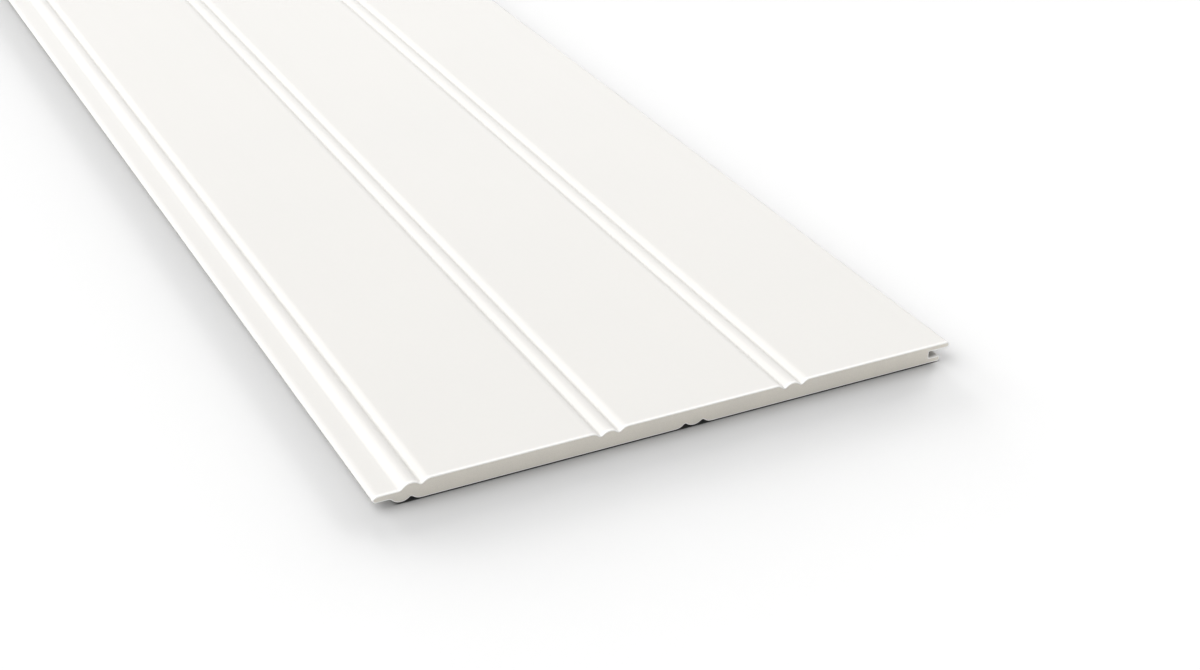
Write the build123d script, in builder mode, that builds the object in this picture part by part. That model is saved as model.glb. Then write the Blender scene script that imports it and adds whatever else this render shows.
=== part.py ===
from build123d import *

import os
from math import cos, radians, sin, sqrt

# Reversible beadboard wall panel: a long thin plank of white rigid foamed plastic, extruded in
# one piece and sawn square at both ends. One long edge is a tongue and the other a groove, so
# that panels interlock. The face has three fields between its beads and the back has two.
# It lies face up: X runs across it from the tongue to the groove, Y along it and Z up through
# its thickness. The origin is the middle of its footprint, at the level of the back.

# Overall sizes, in millimetres
panel_length = 2438.4
cover_width = 203.2  # width of wall that one panel covers, from one joint to the next
thickness = 6.35

# Beads: a low round rib between two sunken quirks, with a soft shoulder up to each field
face_fields = 3
back_fields = 2
bead_width = 6.4  # from quirk to quirk
quirk_depth = 1.65  # before its bottom is rounded
quirk_radius = 0.8
crest_drop = 0.15  # crest of a bead below the field beside it
shoulder_radius = 4.0
flank_angle = 42.0  # steepest slope of a shoulder, in degrees
flank_share = 0.9  # the most of a flank that the rounding of its quirk may take
edge_bead_inset = 5.85  # middle of the bead at a joint, measured from the joint line

# Tongue, centred in the thickness
tongue_thickness = 2.2
tongue_reach = 6.9  # beyond the joint line of the face
face_nose_run = 2.6  # length of the rounded lead-in on the tongue's upper side
back_nose_run = 1.0
foot_radius = 2.0  # where the edge bead runs down into the tongue

# Groove, and how the tongue sits in it
tongue_play = 0.15  # gap above the tongue, and the same below it
expansion_gap = 1.2  # left beyond the tongue's nose when the panel is home
root_radius = 0.4
mouth_radius = 0.6
arris_radius = 0.9
back_lip_setback = 3.5  # the back lip ends this much short of the face lip

# Worked out from the sizes above
half_thickness = thickness / 2
half_tongue = tongue_thickness / 2
half_groove = half_tongue + tongue_play
half_bead = bead_width / 2
ledge_drop = half_thickness - half_tongue
crest_rise = quirk_depth - crest_drop
bead_radius = (half_bead**2 + crest_rise**2) / (2 * crest_rise)
foot_run = sqrt(bead_radius**2 - (bead_radius + crest_drop - ledge_drop) ** 2)
slope = radians(flank_angle)
shoulder_drop = shoulder_radius * (1 - cos(slope))
flank_length = (quirk_depth - shoulder_drop) / sin(slope)
shoulder_run = shoulder_radius * sin(slope) + flank_length * cos(slope)
quirk_rounding = min(quirk_radius, flank_share * flank_length)
bead_reach = half_bead + shoulder_run
overall_width = cover_width + tongue_reach
nose_x = -overall_width / 2
face_lip_x = overall_width / 2
back_lip_x = face_lip_x - back_lip_setback
root_x = face_lip_x - tongue_reach - expansion_gap

# The outline's pieces below are drawn with X across the panel. A bead's own origin is on its
# middle line, level with the fields beside it.


def shoulder(side):
    """Slope from a field down to a bead's quirk, on the side (-1 or 1) of the bead."""
    bend = JernArc((side * bead_reach, 0), (-side, 0), shoulder_radius, side * flank_angle)
    Line(bend @ 1, (side * half_bead, -quirk_depth))


def field_bead():
    """Bead between two fields, with a shoulder on each side."""
    with BuildLine() as bead:
        shoulder(-1)
        ThreePointArc((-half_bead, -quirk_depth), (0, -crest_drop), (half_bead, -quirk_depth))
        shoulder(1)
        fillet(bead.vertices().group_by(Axis.Y)[0], quirk_rounding)
    return bead.line


def edge_bead(ledge_end):
    """Bead at the joint: a shoulder on one side, and on the other the ledge of the tongue."""
    with BuildLine() as bead:
        Line((ledge_end, -ledge_drop), (-foot_run, -ledge_drop))
        ThreePointArc((-foot_run, -ledge_drop), (0, -crest_drop), (half_bead, -quirk_depth))
        shoulder(1)
        ledge_corner, foot, quirk = bead.vertices().sort_by(Axis.X)[:3]
        fillet(quirk, quirk_rounding)
        fillet(foot, foot_radius)
    return bead.line


def side_outline(fields, lip_x, nose_run):
    """Half of the section above its middle plane, from the tongue's nose to the groove's root."""
    field_width = cover_width / fields
    first_x = lip_x - cover_width + edge_bead_inset
    nose_end = nose_x + nose_run
    with BuildLine() as outline:
        EllipticalCenterArc((nose_end, 0), nose_run, half_tongue, 90, arc_size=90)
        with Locations((first_x, half_thickness)):
            add(edge_bead(nose_end - first_x))
        for i in range(1, fields):
            bead_x = first_x + i * field_width
            Line(
                (bead_x - field_width + bead_reach, half_thickness),
                (bead_x - bead_reach, half_thickness),
            )
            with Locations((bead_x, half_thickness)):
                add(field_bead())
        FilletPolyline(
            (lip_x - field_width + edge_bead_inset + bead_reach, half_thickness),
            (lip_x, half_thickness),
            (lip_x, half_groove),
            (root_x, half_groove),
            (root_x, 0),
            radius=[arris_radius, mouth_radius, root_radius],
        )
    return outline.line


section_plane = Plane.XZ.shift_origin((0, 0, half_thickness)).offset(-panel_length / 2)

with BuildPart() as beadboard_panel:
    with BuildSketch(section_plane):
        with BuildLine():
            add(side_outline(face_fields, face_lip_x, face_nose_run))
            mirror(side_outline(back_fields, back_lip_x, back_nose_run), Plane.XZ)
        make_face()
    extrude(amount=panel_length)

beadboard_panel.part.label = "beadboard_panel"
os.makedirs("parts", exist_ok=True)
export_step(beadboard_panel.part, "parts/beadboard_panel.step")
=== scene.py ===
from math import asin, ceil, cos, hypot, pi, radians, sin, sqrt, tan

import bpy
from mathutils import Matrix, Vector


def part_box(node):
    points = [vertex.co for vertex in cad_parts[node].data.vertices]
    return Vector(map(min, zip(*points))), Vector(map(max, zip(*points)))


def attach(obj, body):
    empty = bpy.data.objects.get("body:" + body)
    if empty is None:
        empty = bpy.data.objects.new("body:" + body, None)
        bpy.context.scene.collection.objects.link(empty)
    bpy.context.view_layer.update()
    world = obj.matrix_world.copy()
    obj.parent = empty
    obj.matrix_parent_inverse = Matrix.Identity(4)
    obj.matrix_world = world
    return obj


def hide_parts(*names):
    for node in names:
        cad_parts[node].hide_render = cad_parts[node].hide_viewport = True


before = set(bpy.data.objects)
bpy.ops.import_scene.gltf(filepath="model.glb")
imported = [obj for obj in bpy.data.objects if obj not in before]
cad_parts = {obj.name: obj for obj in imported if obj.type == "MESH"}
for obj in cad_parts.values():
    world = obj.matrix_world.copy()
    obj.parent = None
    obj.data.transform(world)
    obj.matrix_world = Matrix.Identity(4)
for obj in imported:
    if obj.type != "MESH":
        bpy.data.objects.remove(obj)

bl_info = {
    "name": "Beadboard Wall Panel",
    "version": (1, 0, 0),
    "blender": (4, 5, 0),
    "location": "3D View > Sidebar > Beadboard",
    "description": "Dresses a reversible tongue-and-groove beadboard plank and lights it",
    "category": "Object",
}

NODE = "beadboard_panel"
MM = 0.001
LOWEST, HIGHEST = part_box(NODE)
MIDDLE_Z = (LOWEST.z + HIGHEST.z) / 2
HALF_THICKNESS = (HIGHEST.z - LOWEST.z) / 2
TONGUE_NOSE_X, FACE_LIP_X = LOWEST.x, HIGHEST.x
NEAR_Y, FAR_Y = LOWEST.y, HIGHEST.y
CURVE_TOLERANCE = 0.002 * MM  # how far a facet may cut inside a true curve
MERGE_DISTANCE = 0.001 * MM  # points closer than this become one
SMOOTH_ANGLE = radians(38)  # an edge that bends further stays crisp
SQUARE_ON = 0.999  # a face whose normal has this much of Y, or more, is on a sawn end
WHITE = (1, 1, 1, 1)


def length(name, description, millimetres):
    """A length property, with its default in millimetres."""
    return bpy.props.FloatProperty(
        name=name, description=description, default=millimetres * MM, min=0.0,
        unit="LENGTH", subtype="DISTANCE", precision=5)


def angle(name, description, degrees):
    """An angle property, with its default in degrees."""
    return bpy.props.FloatProperty(
        name=name, description=description, default=radians(degrees), subtype="ANGLE")


def count(name, description, value):
    """A property that counts, from 1 up."""
    return bpy.props.IntProperty(name=name, description=description, default=value, min=1)


def share(name, description, value):
    """A property from 0 to 1."""
    return bpy.props.FloatProperty(
        name=name, description=description, default=value, min=0.0, max=1.0, subtype="FACTOR")


def colour(name, description, value):
    """A colour property, in linear light."""
    return bpy.props.FloatVectorProperty(
        name=name, description=description, default=value, size=3, min=0.0, max=1.0,
        subtype="COLOR")


class BeadboardSection(bpy.types.PropertyGroup):
    """The moulded section of the plank."""

    cover: length("Cover width", "Width of wall that a plank covers", 203.2)
    face_fields: count("Face fields", "Flat fields on the face", 3)
    back_fields: count("Back fields", "Flat fields on the back", 2)
    bead: length("Bead width", "From quirk to quirk", 6.4)
    bead_offset: length("Bead offset", "From the joint to the edge bead's middle", 5.85)
    quirk_depth: length("Quirk depth", "Depth of a quirk before it is rounded", 1.65)
    quirk_radius: length("Quirk radius", "Rounding at the bottom of a quirk", 0.8)
    crest_drop: length("Crest drop", "Crest of a bead below the field", 0.15)
    shoulder_radius: length("Shoulder radius", "Rounding from a field into a quirk", 4.0)
    flank: angle("Flank angle", "Steepest slope of a shoulder", 42)
    foot_radius: length("Foot radius", "Rounding from the edge bead to the tongue", 2.0)
    tongue: length("Tongue thickness", "Thickness of the tongue", 2.2)
    tongue_reach: length("Tongue reach", "Tongue beyond the joint line", 6.9)
    face_nose: length("Nose above", "Rounded lead-in above the tongue", 2.6)
    back_nose: length("Nose below", "Rounded lead-in below the tongue", 1.0)
    play: length("Play", "Gap above and below a tongue in its groove", 0.15)
    expansion: length("Expansion gap", "Gap beyond a tongue in its groove", 1.2)
    root_radius: length("Groove root radius", "Rounding at the bottom of the groove", 0.4)
    mouth_radius: length("Groove mouth radius", "Rounding where a tongue enters", 0.6)
    arris_radius: length("Arris radius", "Rounding of a lip's outer edge", 0.9)
    setback: length("Back lip setback", "Back lip short of the face lip", 3.5)


class BeadboardEnds(bpy.types.PropertyGroup):
    """How the plank is sawn to length."""

    spans: count("Spans", "Rows of faces along the plank", 24)
    easing: length("Eased edge", "Width of the worn edge round a sawn end", 0.15)
    skin: length("Skin", "Thickness of the dense skin round the foamed core", 0.2)


class BeadboardFinish(bpy.types.PropertyGroup):
    """Colours and gloss."""

    skin: colour("Skin", "The smooth skin", (0.802, 0.786, 0.756))
    skin_drift: colour("Skin drift", "Where the skin's colour drifts to", (0.79, 0.776, 0.748))
    skin_roughness: share("Skin roughness", "Gloss of the skin, 0 like a mirror and 1 dull", 0.36)
    # Painted shade: this colour darkens the skin inside the groove, where little light gets
    groove: colour("Groove", "How the inside of the groove is toned down", (0.5, 0.49, 0.47))
    groove_shade_start: length("Groove start", "Where the tone starts, in from the face lip", 2.5)
    groove_shade_full: length("Groove full", "Where the tone is full, in from the face lip", 5.5)
    groove_shade_rise: length("Groove rise", "How far the tone goes off the middle plane", 1.6)
    # Painted highlight: this pale colour lightens the skin in a band along both sawn ends, where
    # the saw's burr is raised as relief
    burr_and_highlight: colour("Burr", "The pale rim that the saw leaves", (0.95, 0.94, 0.92))
    burr_and_highlight_reach: length("Burr reach", "How far the burr spreads from a sawn end", 1.6)
    core: colour("Core", "The sawn foam", (0.775, 0.738, 0.662))
    core_drift: colour("Core drift", "Where the foam's colour drifts to", (0.745, 0.712, 0.648))


class BeadboardStage(bpy.types.PropertyGroup):
    """Floor, light and camera."""

    floor_size: length("Floor size", "Side of the floor", 80000)
    floor_drop: length("Floor drop", "Floor below the plank", 0.54)
    paper: share("Paper", "Grey of the floor to the camera, which the light makes white", 0.502)
    bounce: share("Bounce", "Grey of the floor in the light that it throws back", 0.5)
    # Painted shadow: the floor is this dark to the camera under the plank, where its contact
    # shadow falls
    gap: share("Gap", "Grey of the floor in the gap under the plank", 0.08)
    gap_shadow_overhang: length("Gap overhang", "How far the gap's dark goes beyond the back lip", 1.5)
    gap_shadow_side_fade: length("Gap side fade", "Width in which it fades at the plank's sides", 3.0)
    gap_shadow_end_fade: length("Gap end fade", "Width in which it fades at the sawn ends", 0.4)
    sky: share("Sky", "Light from the world, next to a white world's 1", 0.46)
    glare: share("Glare", "How much brighter than white the world is in reflections", 0.6)
    camera_left: length("Camera left", "Camera to the left of the plank's middle", 275.6)
    camera_back: length("Camera back", "Camera in front of the sawn end", 492.0)
    camera_height: length("Camera height", "Camera above the face", 339.3)
    heading: angle("Heading", "Camera's turn to the right of the plank's length", 26.68)
    dip: angle("Dip", "Camera's tilt below the horizon", 28.9)
    roll: angle("Roll", "Camera's lean", 0.16)
    lens: bpy.props.FloatProperty(
        name="Lens", description="Focal length in millimetres on a 36 mm wide picture",
        default=61.36, min=1.0)


class Outline:
    """A line drawn in edit mode on the near end, one straight or round stretch at a time."""

    def __init__(self, name, x, z):
        """Starts with one point, which a small plane is merged to."""
        bpy.ops.object.select_all(action="DESELECT")
        bpy.ops.mesh.primitive_plane_add(size=MM, location=(x, NEAR_Y, z))
        bpy.ops.object.transform_apply(location=True)
        self.piece = bpy.context.active_object
        self.piece.name = self.piece.data.name = name
        self.x, self.z = x, z
        bpy.ops.object.mode_set(mode="EDIT")
        bpy.ops.mesh.select_mode(type="VERT")
        bpy.ops.mesh.merge(type="CENTER")

    def line_to(self, x, z):
        """A straight stretch."""
        bpy.ops.mesh.extrude_vertices_move(
            TRANSFORM_OT_translate={"value": (x - self.x, 0, z - self.z)})
        self.x, self.z = x, z

    def arc(self, centre_x, centre_z, turn):
        """A round stretch about a centre; a turn above nought is clockwise."""
        dx, dz = self.x - centre_x, self.z - centre_z
        # A facet of angle a cuts about radius * a * a / 8 inside the curve
        steps = max(3, ceil(abs(turn) * sqrt(hypot(dx, dz) / (8 * CURVE_TOLERANCE))))
        bpy.ops.mesh.spin(
            steps=steps, angle=turn, center=(centre_x, NEAR_Y, centre_z), axis=(0, -1, 0),
            use_auto_merge=False)
        self.x = centre_x + dx * cos(turn) + dz * sin(turn)
        self.z = centre_z + dz * cos(turn) - dx * sin(turn)

    def stretch(self, from_x, factor):
        """Stretches all that is drawn so far across the plank, and goes on from its tip."""
        bpy.ops.mesh.select_all(action="SELECT")
        bpy.ops.transform.resize(
            value=(factor, 1, 1), center_override=(from_x, NEAR_Y, MIDDLE_Z))
        self.x = from_x + factor * (self.x - from_x)
        bpy.ops.mesh.select_all(action="DESELECT")
        bpy.ops.object.mode_set(mode="OBJECT")
        tip = min(
            self.piece.data.vertices, key=lambda v: hypot(v.co.x - self.x, v.co.z - self.z))
        tip.select = True
        bpy.ops.object.mode_set(mode="EDIT")

    def done(self):
        """Leaves edit mode and gives the piece."""
        bpy.ops.object.mode_set(mode="OBJECT")
        return self.piece


class Bead:
    """A bead with its quirks and shoulders, its sizes worked out from the section's settings."""

    def __init__(self, section):
        rise = section.quirk_depth - section.crest_drop
        half = section.bead / 2
        self.radius = (half ** 2 + rise ** 2) / (2 * rise)
        self.centre_depth = section.crest_drop + self.radius
        self.flank = section.flank
        self.shoulder_radius = section.shoulder_radius
        self.shoulder_fall = self.shoulder_radius * (1 - cos(self.flank))
        self.shoulder_run = self.shoulder_radius * sin(self.flank)
        self.reach = (half + self.shoulder_run
                      + (section.quirk_depth - self.shoulder_fall) / tan(self.flank))
        self.quirk_radius = section.quirk_radius
        self.quirk = self.blend(half, section.quirk_depth, self.flank, self.quirk_radius)
        self.quirk_turn = asin(self.quirk.x / (self.radius + self.quirk_radius))
        ledge = HALF_THICKNESS - section.tongue / 2
        foot = sqrt(self.radius ** 2 - (ledge - self.centre_depth) ** 2)
        self.foot = self.blend(foot, ledge, 0.0, section.foot_radius)
        self.foot_turn = asin(self.foot.x / (self.radius + section.foot_radius))

    def blend(self, x, depth, slope, radius):
        """Centre of the rounding between the bead and a line that rises from x at a slope."""
        side = Vector((cos(slope), sin(slope)))
        start = Vector((x, -depth)) + radius * Vector((-side.y, side.x))
        from_bead = start - Vector((0, -self.centre_depth))
        along = from_bead.dot(side)
        gap = from_bead.length_squared - (self.radius + radius) ** 2
        return start + side * (sqrt(along ** 2 - gap) - along)

    def draw(self, line, x, surface, at_joint):
        """Draws it about x; at the joint a foot runs down to the tongue on its left."""
        crest_centre_z = surface - self.centre_depth
        if at_joint:
            line.line_to(x - self.foot.x, line.z)
            line.arc(x - self.foot.x, surface + self.foot.y, -self.foot_turn)
            line.arc(x, crest_centre_z, self.foot_turn + self.quirk_turn)
        else:
            line.line_to(x - self.reach, surface)
            line.arc(x - self.reach, surface - self.shoulder_radius, self.flank)
            rim = self.quirk + self.quirk_radius * Vector((sin(self.flank), -cos(self.flank)))
            line.line_to(x - rim.x, surface + rim.y)
            line.arc(x - self.quirk.x, surface + self.quirk.y, -self.flank - self.quirk_turn)
            line.arc(x, crest_centre_z, 2 * self.quirk_turn)
        line.arc(x + self.quirk.x, surface + self.quirk.y, -self.flank - self.quirk_turn)
        line.line_to(x + self.reach - self.shoulder_run, surface - self.shoulder_fall)
        line.arc(x + self.reach, surface - self.shoulder_radius, self.flank)


def draw_side(name, section, fields, lip_x, nose):
    """Half of the section above its middle plane, from the tongue's nose to the groove's root."""
    surface = MIDDLE_Z + HALF_THICKNESS
    half_tongue = section.tongue / 2
    quarter = radians(90)
    line = Outline(name, TONGUE_NOSE_X, MIDDLE_Z)
    line.arc(TONGUE_NOSE_X + half_tongue, MIDDLE_Z, quarter)
    line.stretch(TONGUE_NOSE_X, nose / half_tongue)

    bead = Bead(section)
    first_x = lip_x - section.cover + section.bead_offset
    field = section.cover / fields
    for i in range(fields):
        bead.draw(line, first_x + i * field, surface, at_joint=i == 0)

    line.line_to(lip_x - section.arris_radius, surface)
    line.arc(line.x, line.z - section.arris_radius, quarter)
    half_groove = half_tongue + section.play
    line.line_to(line.x, MIDDLE_Z + half_groove + section.mouth_radius)
    line.arc(line.x - section.mouth_radius, line.z, quarter)
    root_x = FACE_LIP_X - section.tongue_reach - section.expansion
    line.line_to(root_x + section.root_radius, line.z)
    line.arc(line.x, line.z - section.root_radius, -quarter)
    line.line_to(line.x, MIDDLE_Z)
    return line


def draw_section(section):
    """The whole section as one face. Its back is drawn like its face and turned over."""
    back = draw_side(
        "back_outline", section, section.back_fields,
        FACE_LIP_X - section.setback, section.back_nose)
    bpy.ops.mesh.select_all(action="SELECT")
    bpy.ops.transform.resize(value=(1, 1, -1), center_override=(0, NEAR_Y, MIDDLE_Z))
    back_piece = back.done()
    face = draw_side("plank", section, section.face_fields, FACE_LIP_X, section.face_nose)
    plank = face.done()
    back_piece.select_set(True)
    bpy.ops.object.join()
    bpy.ops.object.mode_set(mode="EDIT")
    bpy.ops.mesh.select_all(action="SELECT")
    bpy.ops.mesh.remove_doubles(threshold=MERGE_DISTANCE)
    bpy.ops.mesh.edge_face_add()
    return plank


def run_out(spans):
    """Runs the section's face out to the length of the plank, in equal spans."""
    bpy.ops.mesh.select_mode(type="FACE")
    for _ in range(spans):
        bpy.ops.mesh.extrude_region_move(
            TRANSFORM_OT_translate={"value": (0, (FAR_Y - NEAR_Y) / spans, 0)})
    bpy.ops.mesh.select_all(action="SELECT")
    bpy.ops.mesh.normals_make_consistent(inside=False)
    bpy.ops.object.mode_set(mode="OBJECT")


def is_sawn(polygon):
    """True for the many-sided face that fills a sawn end, or the core inside its skin."""
    return abs(polygon.normal.y) > SQUARE_ON and len(polygon.vertices) > 4


def select_sawn(plank):
    """Goes to edit mode with only the sawn faces selected."""
    bpy.ops.object.mode_set(mode="EDIT")
    bpy.ops.mesh.select_all(action="DESELECT")
    bpy.ops.object.mode_set(mode="OBJECT")
    for polygon in plank.data.polygons:
        polygon.select = is_sawn(polygon)
    bpy.ops.object.mode_set(mode="EDIT")


def ease_ends(plank, ends):
    """Eases the edge round both sawn ends, and sets off the skin from the core there."""
    select_sawn(plank)
    bpy.ops.mesh.bevel(offset=ends.easing, segments=3, affect="EDGES")
    select_sawn(plank)
    bpy.ops.mesh.inset(thickness=ends.skin, use_individual=True)
    bpy.ops.object.mode_set(mode="OBJECT")


def smooth(piece):
    """Smooth shading that keeps the big flat faces flat up to their edges."""
    bpy.ops.object.shade_smooth_by_angle(angle=SMOOTH_ANGLE)
    bpy.ops.object.modifier_add(type="WEIGHTED_NORMAL")
    weighted = piece.modifiers[-1]
    weighted.weight = 100
    weighted.keep_sharp = True
    bpy.ops.object.modifier_apply(modifier=weighted.name)


class BEADBOARD_OT_plank(bpy.types.Operator):
    """Draws the section, runs it out to the plank's length and saws its ends"""

    bl_idname = "beadboard.plank"
    bl_label = "Plank"

    def execute(self, context):
        ends = context.scene.beadboard_ends
        plank = draw_section(context.scene.beadboard_section)
        run_out(ends.spans)
        ease_ends(plank, ends)
        smooth(plank)
        dress(plank, context.scene.beadboard_finish)
        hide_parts(NODE)
        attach(plank, "root")
        return {"FINISHED"}


def dress(plank, look):
    """The skin all over, and the foamed core where it is sawn through."""
    effects = streaks_group(), mottle_group(), pitting_group()
    plank.data.materials.append(skin_material(*effects, look))
    plank.data.materials.append(core_material(*effects, look))
    for polygon in plank.data.polygons:
        polygon.material_index = int(is_sawn(polygon))


def new_material(name):
    """A material, its nodes' tree and its shader."""
    material = bpy.data.materials.new(name)
    material.use_nodes = True
    return material, material.node_tree, material.node_tree.nodes["Principled BSDF"]


def add_node(tree, kind, inputs, **settings):
    """Adds a node. An input goes by name or number, and takes a value or another node's socket."""
    node = tree.nodes.new(kind)
    for name, value in settings.items():
        setattr(node, name, value)
    for key, value in inputs.items():
        if isinstance(value, bpy.types.NodeSocket):
            tree.links.new(value, node.inputs[key])
        else:
            node.inputs[key].default_value = value
    return node


def maths(tree, operation, *values):
    """What a Math node makes of its values."""
    node = add_node(tree, "ShaderNodeMath", dict(enumerate(values)), operation=operation)
    return node.outputs[0]


def ramp(tree, value, start, end, low=0.0, high=1.0, soft=False):
    """Goes from low to high while a value goes from start to end, and no further."""
    node = add_node(
        tree, "ShaderNodeMapRange",
        {"Value": value, "From Min": start, "From Max": end, "To Min": low, "To Max": high},
        interpolation_type="SMOOTHSTEP" if soft else "LINEAR")
    return node.outputs["Result"]


def noise(tree, place, scale, detail):
    """The outputs of a Noise Texture."""
    return add_node(
        tree, "ShaderNodeTexNoise",
        {"Vector": place, "Scale": scale, "Detail": detail}).outputs


def mix_values(tree, amount, first, second):
    """The first value, with an amount of the second mixed in."""
    return add_node(tree, "ShaderNodeMix", {"Factor": amount, 2: first, 3: second}).outputs[0]


def mix_colours(tree, amount, first, second, how="MIX"):
    """The first colour, with an amount of the second mixed in."""
    node = add_node(
        tree, "ShaderNodeMix", {"Factor": amount, 6: first, 7: second},
        data_type="RGBA", blend_type=how)
    return node.outputs[2]


def mix_shaders(tree, amount, first, second):
    """The first shader, with an amount of the second mixed in."""
    return add_node(
        tree, "ShaderNodeMixShader",
        {"Fac": amount, 1: first.outputs[0], 2: second.outputs[0]}).outputs["Shader"]


def emboss(tree, shader, *layers):
    """Adds fine relief to a shader. A layer is a height from 0 to 1, and how far 1 stands out."""
    below = {}
    for height, rise in layers:
        bump = add_node(
            tree, "ShaderNodeBump", {"Strength": 1.0, "Distance": rise, "Height": height, **below})
        below = {"Normal": bump.outputs["Normal"]}
    tree.links.new(below["Normal"], shader.inputs["Normal"])


def new_group(name, inputs, output, kind):
    """An empty node group, what comes into it, and the socket for the one thing it puts out."""
    group = bpy.data.node_groups.new(name, "ShaderNodeTree")
    for input_name, input_kind, value in inputs:
        socket = group.interface.new_socket(input_name, in_out="INPUT", socket_type=input_kind)
        if value is not None:
            socket.default_value = value
    group.interface.new_socket(output, in_out="OUTPUT", socket_type=kind)
    given = group.nodes.new("NodeGroupInput").outputs
    return group, given, group.nodes.new("NodeGroupOutput").inputs[output]


def place_group(tree, group, inputs):
    """Places a node group, and gives what it puts out."""
    return add_node(tree, "ShaderNodeGroup", inputs, node_tree=group).outputs[0]


def streaks_group():
    """Fine and broad lines, which follow the way its vector is stretched."""
    group, given, out = new_group(
        "streaks",
        [("Vector", "NodeSocketVector", None), ("Broad", "NodeSocketFloat", 150.0),
         ("Fine", "NodeSocketFloat", 900.0), ("Fine Share", "NodeSocketFloat", 0.5)],
        "Lines", "NodeSocketFloat")
    broad = noise(group, given["Vector"], given["Broad"], 2.0)
    fine = noise(group, given["Vector"], given["Fine"], 3.0)
    lines = mix_values(group, given["Fine Share"], broad["Fac"], fine["Fac"])
    group.links.new(lines, out)
    return group


def mottle_group():
    """A colour that drifts in patches towards a second colour."""
    group, given, out = new_group(
        "mottle",
        [("Vector", "NodeSocketVector", None), ("Colour", "NodeSocketColor", WHITE),
         ("Drift", "NodeSocketColor", WHITE), ("Patches", "NodeSocketFloat", 20.0),
         ("Specks", "NodeSocketFloat", 400.0)],
        "Colour", "NodeSocketColor")
    patches = noise(group, given["Vector"], given["Patches"], 3.0)
    specks = noise(group, given["Vector"], given["Specks"], 2.0)
    speck_share = 0.35
    both = mix_values(group, speck_share, patches["Fac"], specks["Fac"])
    # No drift below the first value, and all of it above the second
    drift = ramp(group, both, 0.34, 0.66)
    group.links.new(mix_colours(group, drift, given["Colour"], given["Drift"]), out)
    return group


def pitting_group():
    """Small round pits, deep and crowded in foam, shallow and soft on a skin."""
    group, given, out = new_group(
        "pitting",
        [("Vector", "NodeSocketVector", None), ("Cells", "NodeSocketFloat", 1000.0),
         ("Softness", "NodeSocketFloat", 1.0), ("Rim", "NodeSocketFloat", 0.5)],
        "Height", "NodeSocketFloat")
    warp = noise(group, given["Vector"], given["Cells"], 1.0)
    warp_reach = 0.4 * MM
    nudge = add_node(
        group, "ShaderNodeVectorMath", {0: warp["Color"], "Scale": warp_reach}, operation="SCALE")
    moved = add_node(
        group, "ShaderNodeVectorMath", {0: given["Vector"], 1: nudge.outputs["Vector"]})
    cells = add_node(
        group, "ShaderNodeTexVoronoi",
        {"Vector": moved.outputs["Vector"], "Scale": given["Cells"],
         "Smoothness": given["Softness"]},
        feature="SMOOTH_F1")
    height = ramp(group, cells.outputs["Distance"], 0.0, given["Rim"], soft=True)
    group.links.new(height, out)
    return group


def object_place(tree, stretch):
    """Object coordinates, and the same stretched by a factor along each axis."""
    place = add_node(tree, "ShaderNodeTexCoord", {}).outputs["Object"]
    mapping = add_node(tree, "ShaderNodeMapping", {"Vector": place, "Scale": stretch})
    return place, mapping.outputs["Vector"]


def painted_groove_shade_mask(tree, place, look):
    """Where the groove's painted shade goes: 0 outside the groove, and up to 1 further in, where
    little light gets.
    """
    axes = add_node(tree, "ShaderNodeSeparateXYZ", {"Vector": place}).outputs
    off_middle = maths(tree, "ABSOLUTE", maths(tree, "SUBTRACT", axes["Z"], MIDDLE_Z))
    between_lips = maths(tree, "LESS_THAN", off_middle, look.groove_shade_rise)
    further_in = ramp(
        tree, axes["X"], FACE_LIP_X - look.groove_shade_start, FACE_LIP_X - look.groove_shade_full)
    right_half = maths(tree, "GREATER_THAN", axes["X"], 0.0)
    inside = maths(tree, "MULTIPLY", between_lips, further_in)
    return maths(tree, "MULTIPLY", inside, right_half)


def near_ends(tree, place, reach):
    """Rises from 0 to 1 over the last stretch before either sawn end."""
    axes = add_node(tree, "ShaderNodeSeparateXYZ", {"Vector": place}).outputs
    return ramp(tree, maths(tree, "ABSOLUTE", axes["Y"]), FAR_Y - reach, FAR_Y, soft=True)


def skin_material(streaks, mottle, pitting, look):
    """The dense satin skin of the extrusion, drawn along its length."""
    material, tree, shader = new_material("satin_pvc_skin")
    place, drawn_out = object_place(tree, stretch=(1.0, 0.004, 1.0))
    lines = place_group(tree, streaks, {
        "Vector": drawn_out, "Broad": 160.0, "Fine": 1100.0, "Fine Share": 0.45})
    peel = place_group(tree, pitting, {
        "Vector": place, "Cells": 750.0, "Softness": 1.0, "Rim": 0.9})
    mottled = place_group(tree, mottle, {
        "Vector": place, "Colour": (*look.skin, 1), "Drift": (*look.skin_drift, 1),
        "Patches": 14.0, "Specks": 500.0})
    groove_shade_amount = painted_groove_shade_mask(tree, place, look)
    # Painted shade: the skin's colour is multiplied darker inside the groove
    toned = mix_colours(tree, groove_shade_amount, mottled, (*look.groove, 1), how="MULTIPLY")
    burr_and_highlight = near_ends(tree, place, look.burr_and_highlight_reach)
    # Painted highlight: the skin is made paler near the sawn ends
    pale = mix_colours(tree, burr_and_highlight, toned, (*look.burr_and_highlight, 1))
    tree.links.new(pale, shader.inputs["Base Color"])
    roughness = look.skin_roughness
    gloss = ramp(tree, lines, 0.3, 0.7, low=roughness - 0.04, high=roughness + 0.05)
    tree.links.new(gloss, shader.inputs["Roughness"])
    emboss(tree, shader, (lines, 0.012 * MM), (peel, 0.006 * MM), (burr_and_highlight, 0.16 * MM))
    return material


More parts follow.
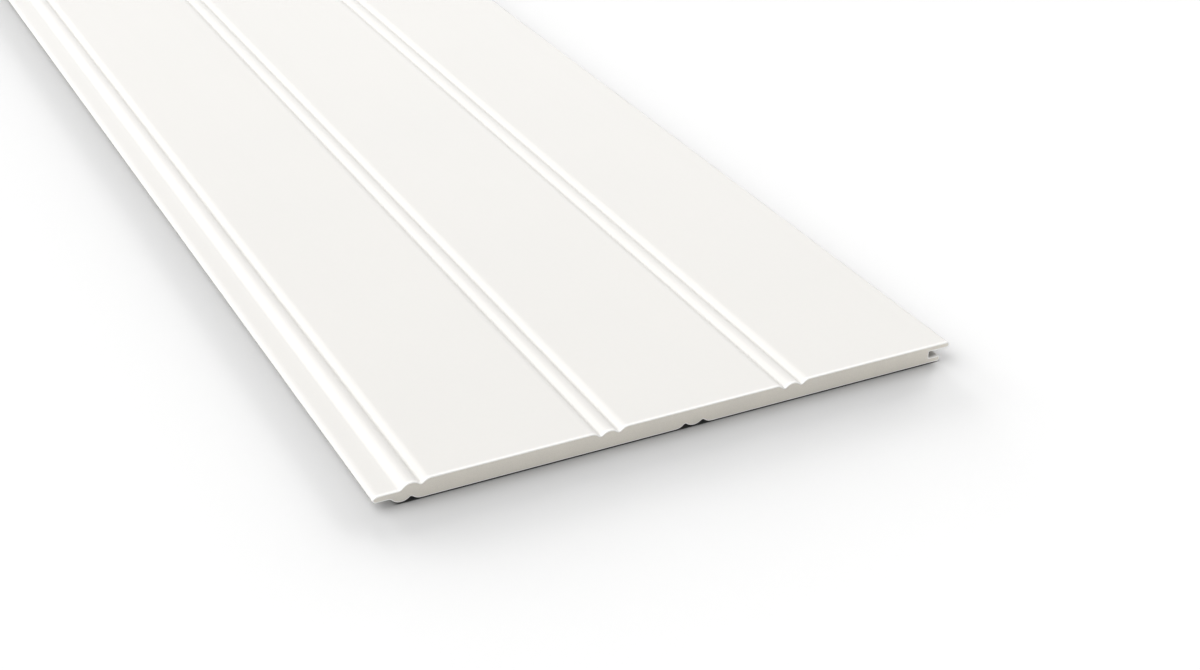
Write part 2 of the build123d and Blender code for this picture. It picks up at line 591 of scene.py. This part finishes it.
def core_material(streaks, mottle, pitting, look):
    """The foamed core where it is sawn through: open cells and the marks of the saw."""
    material, tree, shader = new_material("sawn_foamed_core")
    place, sawn_across = object_place(tree, stretch=(1.0, 1.0, 0.06))
    marks = place_group(tree, streaks, {
        "Vector": sawn_across, "Broad": 420.0, "Fine": 2200.0, "Fine Share": 0.5})
    cells = place_group(tree, pitting, {
        "Vector": place, "Cells": 3600.0, "Softness": 0.25, "Rim": 0.55})
    mottled = place_group(tree, mottle, {
        "Vector": place, "Colour": (*look.core, 1), "Drift": (*look.core_drift, 1),
        "Patches": 90.0, "Specks": 1400.0})
    # Painted shade: the foam's colour is up to a tenth darker towards the bottom of each pit
    pit_shade = ramp(tree, cells, 0.0, 1.0, low=0.9)
    pit_shaded_colour = add_node(
        tree, "ShaderNodeVectorMath", {0: mottled, "Scale": pit_shade}, operation="SCALE")
    tree.links.new(pit_shaded_colour.outputs["Vector"], shader.inputs["Base Color"])
    dull = ramp(tree, marks, 0.3, 0.7, low=0.62, high=0.82)
    tree.links.new(dull, shader.inputs["Roughness"])
    emboss(tree, shader, (marks, 0.05 * MM), (cells, 0.03 * MM))
    return material


class BEADBOARD_OT_stage(bpy.types.Operator):
    """Adds the floor, the lamps and the camera"""

    bl_idname = "beadboard.stage"
    bl_label = "Stage"

    def execute(self, context):
        stage = context.scene.beadboard_stage
        floor = add_floor(stage, context.scene.beadboard_section)
        add_world(context.scene, stage)
        softbox = add_sun("softbox_left", level=0.53, azimuth=-47, height=38, width=80)
        softbox.visible_glossy = False
        light_only([softbox], bpy.data.objects["plank"])
        backdrop_glow = [
            add_sun("glow_back_left", level=0.763, azimuth=-46.5, height=37, width=90),
            add_sun("glow_back", level=0.134, azimuth=-13.5, height=6.5, width=20),
            add_sun("glow_back_low", level=0.171, azimuth=12.5, height=4, width=20),
            add_sun("glow_back_right", level=0.289, azimuth=48.5, height=6.25, width=25.5),
            add_sun("glow_right", level=0.109, azimuth=76, height=11, width=20),
        ]
        light_only(backdrop_glow, floor)
        add_sun("fill_front", level=0.04, azimuth=190, height=14, width=60)
        add_camera(context.scene, stage)
        context.scene.view_settings.view_transform = "Standard"
        return {"FINISHED"}


def add_floor(stage, section):
    """The paper under the plank."""
    bpy.ops.object.select_all(action="DESELECT")
    bpy.ops.mesh.primitive_plane_add(
        size=stage.floor_size, location=(0, 0, LOWEST.z - stage.floor_drop))
    bpy.ops.object.transform_apply(location=True)
    floor = bpy.context.active_object
    floor.name = "floor"
    floor.data.materials.append(paper_material(stage, section))
    return floor


def paper_material(stage, section):
    """Paper with one shade to the camera and another in the light that it throws back."""
    material, tree, shader = new_material("floor_paper")
    tree.nodes.remove(shader)
    seen = add_node(tree, "ShaderNodeBsdfDiffuse", {"Color": paper_with_painted_shadow(tree, stage, section)})
    grey = stage.bounce
    thrown = add_node(tree, "ShaderNodeBsdfDiffuse", {"Color": (grey, grey, grey, 1)})
    path = add_node(tree, "ShaderNodeLightPath", {}).outputs
    paper = mix_shaders(tree, path["Is Camera Ray"], thrown, seen)
    tree.links.new(paper, tree.nodes["Material Output"].inputs["Surface"])
    return material


def paper_with_painted_shadow(tree, stage, section):
    """The paper's grey to the camera: white once lit, and darkened by a painted shadow in the gap
    under the plank.
    """
    back_lip_x = FACE_LIP_X - section.setback
    left = back_lip_x - section.cover + section.bead_offset - section.bead / 2
    right = back_lip_x + stage.gap_shadow_overhang
    half_width = (right - left) / 2
    place = add_node(tree, "ShaderNodeTexCoord", {}).outputs["Object"]
    offset = add_node(
        tree, "ShaderNodeVectorMath", {0: place, 1: ((left + right) / 2, 0, 0)},
        operation="SUBTRACT")
    away = add_node(
        tree, "ShaderNodeVectorMath", {0: offset.outputs["Vector"]}, operation="ABSOLUTE")
    axes = add_node(tree, "ShaderNodeSeparateXYZ", {"Vector": away.outputs["Vector"]}).outputs
    # Painted shadow: dark under the plank, fading out at its sides and sawn ends
    across = ramp(
        tree, axes["X"], half_width - stage.gap_shadow_side_fade, half_width,
        low=stage.gap, high=stage.paper, soft=True)
    return ramp(
        tree, axes["Y"], FAR_Y - stage.gap_shadow_end_fade, FAR_Y,
        low=across, high=stage.paper, soft=True)


def add_world(scene, stage):
    """A white world, which lights less than it looks and is brighter in reflections."""
    world = bpy.data.worlds.new("studio")
    world.use_nodes = True
    scene.world = world
    tree = world.node_tree
    light = tree.nodes["Background"]
    light.inputs["Color"].default_value = WHITE
    light.inputs["Strength"].default_value = stage.sky
    path = add_node(tree, "ShaderNodeLightPath", {}).outputs
    seen = maths(tree, "MAXIMUM", path["Is Camera Ray"], path["Is Glossy Ray"])
    seen = maths(tree, "MAXIMUM", seen, path["Is Transmission Ray"])
    brightness = maths(tree, "MULTIPLY_ADD", path["Is Glossy Ray"], stage.glare, 1.0)
    backdrop = add_node(tree, "ShaderNodeBackground", {"Color": WHITE, "Strength": brightness})
    both = mix_shaders(tree, seen, light, backdrop)
    tree.links.new(both, tree.nodes["World Output"].inputs["Surface"])


def add_sun(name, level, azimuth, height, width):
    """A soft distant lamp. Level is its light on the floor, next to a white world's 1.

    Its azimuth is clockwise from the plank's far end, its height is above the floor and its
    width is across its disc, all in degrees.
    """
    bpy.ops.object.light_add(
        type="SUN", location=(0, 0, 1),
        rotation=(radians(90 - height), 0, radians(180 - azimuth)))
    lamp = bpy.context.active_object
    lamp.name = name
    lamp.data.energy = pi * level / sin(radians(height))
    lamp.data.angle = radians(width)
    return lamp


def light_only(lamps, piece):
    """Keeps the lamps' light to one piece; the rest still casts its shadow there."""
    receivers = bpy.data.collections.new(f"{piece.name}_only")
    receivers.objects.link(piece)
    for lamp in lamps:
        lamp.light_linking.receiver_collection = receivers


def add_camera(scene, stage):
    """The camera, placed from the middle of the near end's top edge."""
    bpy.ops.object.camera_add(location=(
        -stage.camera_left, NEAR_Y - stage.camera_back, HIGHEST.z + stage.camera_height))
    camera = bpy.context.active_object
    camera.name = "camera"
    camera.data.lens = stage.lens
    camera.data.clip_start = 0.01
    camera.data.clip_end = 100
    turn = (Matrix.Rotation(-stage.heading, 4, "Z")
            @ Matrix.Rotation(radians(90) - stage.dip, 4, "X")
            @ Matrix.Rotation(stage.roll, 4, "Z"))
    camera.rotation_euler = turn.to_euler()
    scene.camera = camera


class BEADBOARD_PT_sidebar(bpy.types.Panel):
    """Lists the plank's settings and its operators"""

    bl_idname = "BEADBOARD_PT_sidebar"
    bl_label = "Beadboard Wall Panel"
    bl_space_type = "VIEW_3D"
    bl_region_type = "UI"
    bl_category = "Beadboard"

    def draw(self, context):
        for name, _, operator in SETTINGS:
            box = self.layout.box()
            settings = getattr(context.scene, name)
            for setting in settings.__annotations__:
                box.prop(settings, setting)
            if operator:
                box.operator(operator)


# Each group of settings: its name in the scene, its class and the operator listed under it
SETTINGS = (
    ("beadboard_section", BeadboardSection, None),
    ("beadboard_finish", BeadboardFinish, None),
    ("beadboard_ends", BeadboardEnds, "beadboard.plank"),
    ("beadboard_stage", BeadboardStage, "beadboard.stage"),
)
OPERATORS_AND_PANEL = (BEADBOARD_OT_plank, BEADBOARD_OT_stage, BEADBOARD_PT_sidebar)


def register():
    for name, group, _ in SETTINGS:
        bpy.utils.register_class(group)
        setattr(bpy.types.Scene, name, bpy.props.PointerProperty(type=group))
    for cls in OPERATORS_AND_PANEL:
        bpy.utils.register_class(cls)


def unregister():
    for cls in reversed(OPERATORS_AND_PANEL):
        bpy.utils.unregister_class(cls)
    for name, group, _ in reversed(SETTINGS):
        delattr(bpy.types.Scene, name)
        bpy.utils.unregister_class(group)


def main():
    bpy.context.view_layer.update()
    register()
    bpy.ops.beadboard.plank()
    bpy.ops.beadboard.stage()


if __name__ == "__main__":
    main()
